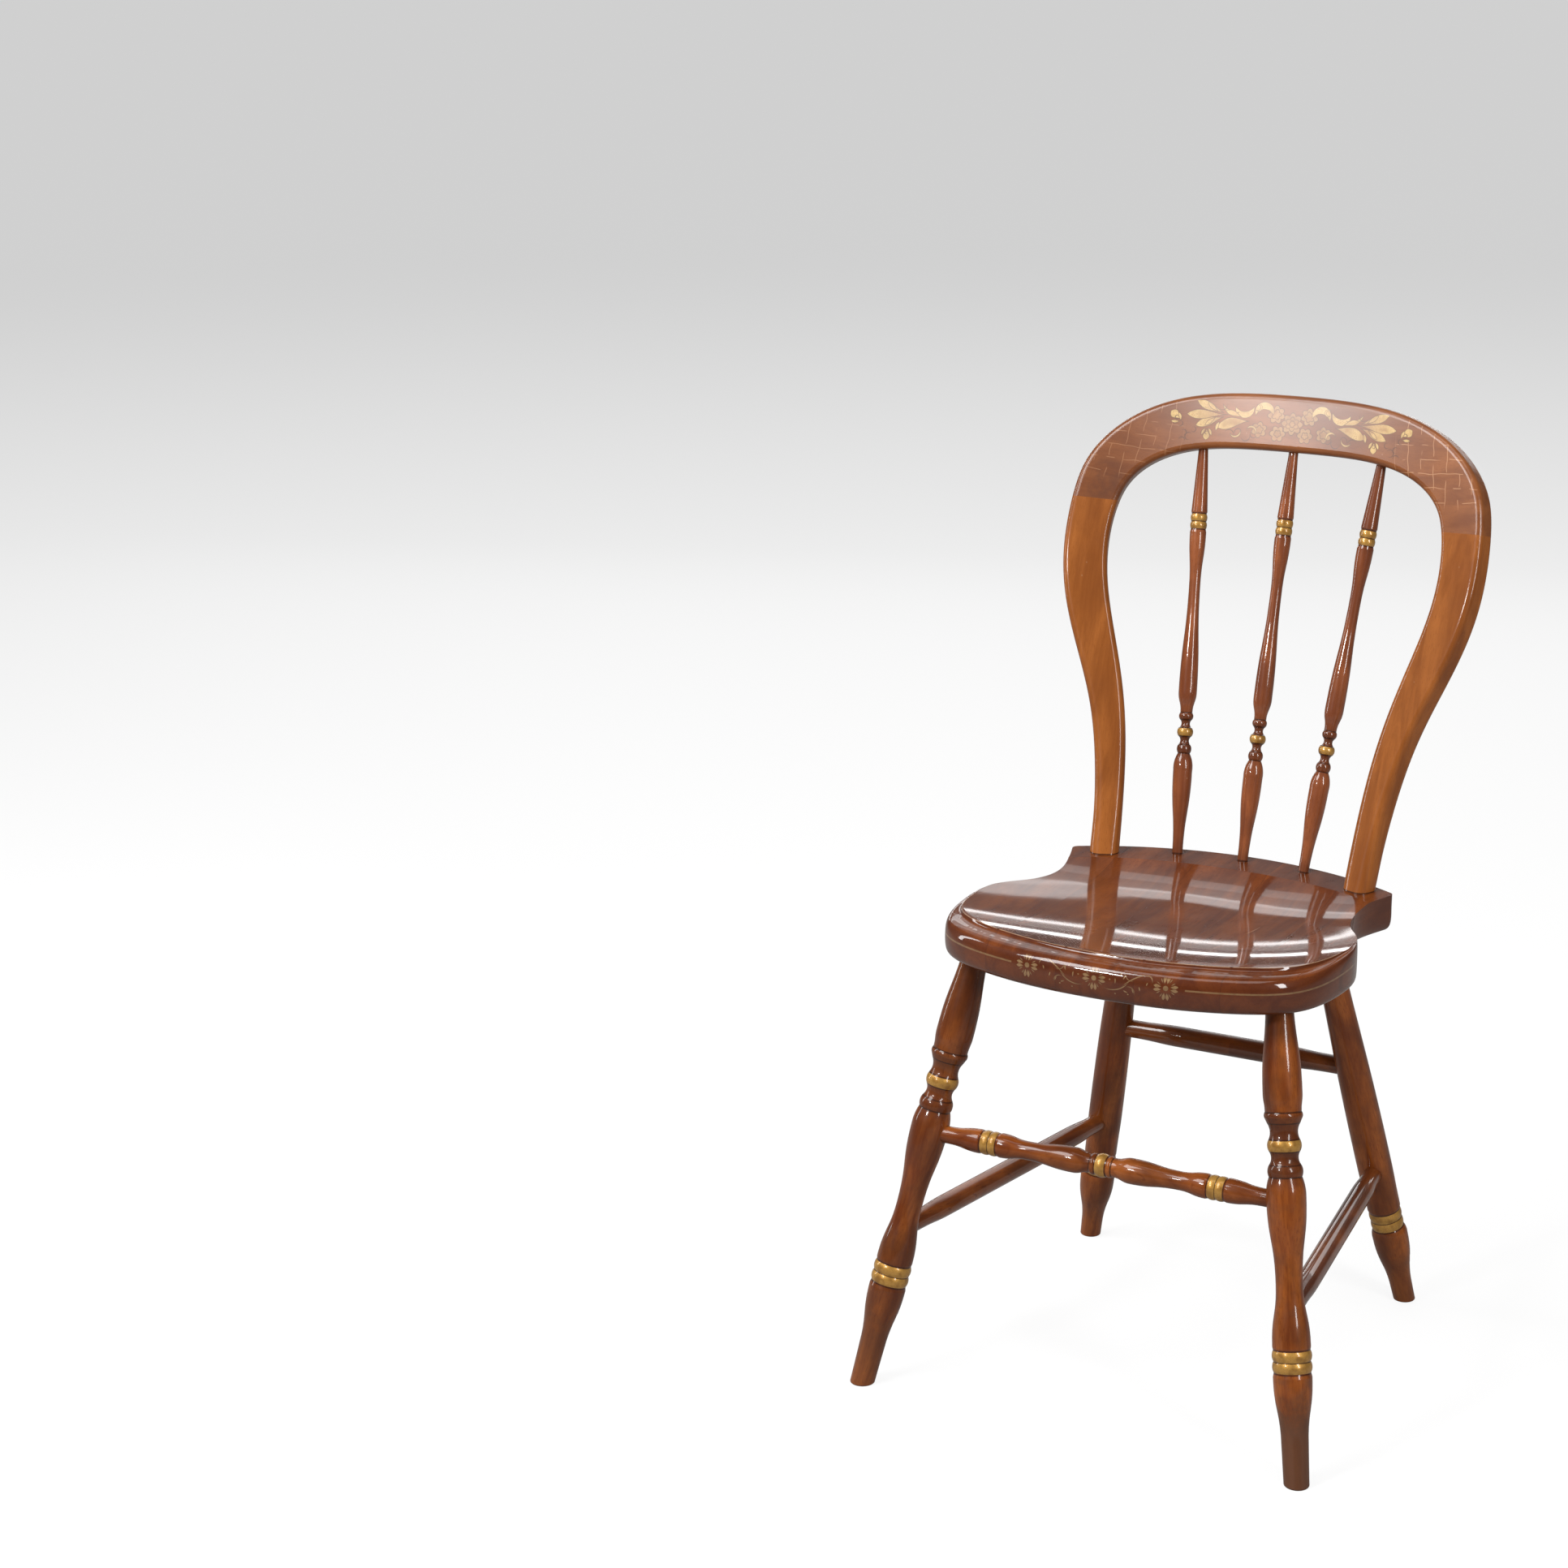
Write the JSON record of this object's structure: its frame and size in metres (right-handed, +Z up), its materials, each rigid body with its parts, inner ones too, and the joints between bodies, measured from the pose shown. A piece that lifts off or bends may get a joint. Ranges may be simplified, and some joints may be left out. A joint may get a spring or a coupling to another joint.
{
  "type": "stenciled painted side chair",
  "caption": "Balloon-back side chair with a dished plank seat, turned legs, stretchers and spindles, lacquered reddish brown with gilt rings and stencilled ornament.",
  "frame": {"origin": "on the floor, under the middle of the chair's bounding box", "axes": "+Z up, -Y towards the front edge of the seat, +X to the right as seen from the front"},
  "size_m": [0.4588, 0.5121, 0.8893],
  "materials": {
    "seat_lacquer": "gloss lacquer with a painted gold border",
    "front_leg_lacquer": "gloss lacquer with gilt rings",
    "rear_leg_lacquer": "gloss lacquer with gilt rings",
    "front_stretcher_lacquer": "gloss lacquer with gilt rings",
    "rod_lacquer": "gloss lacquer",
    "post_lacquer": "gloss lacquer",
    "crest_lacquer": "gloss lacquer with a gold stencil",
    "spindle_lacquer": "gloss lacquer with gilt rings",
    "bare_wood": "bare"
  },
  "bodies": {
    "root": {"seat_board_outer_left": "seat_lacquer", "seat_board_left": "seat_lacquer", "seat_board_centre": "seat_lacquer", "seat_board_right": "seat_lacquer", "seat_board_outer_right": "seat_lacquer", "front_left_leg": "front_leg_lacquer", "front_right_leg": "front_leg_lacquer", "rear_left_leg": "rear_leg_lacquer", "rear_right_leg": "rear_leg_lacquer", "front_stretcher": "front_stretcher_lacquer", "rear_stretcher": "rod_lacquer", "left_side_stretcher": "rod_lacquer", "right_side_stretcher": "rod_lacquer", "left_back_post": "post_lacquer", "right_back_post": "post_lacquer", "crest_rail": "crest_lacquer", "left_crest_dowels": "bare_wood", "right_crest_dowels": "bare_wood", "left_spindle": "spindle_lacquer", "centre_spindle": "spindle_lacquer", "right_spindle": "spindle_lacquer"}
  },
  "joints": []
}
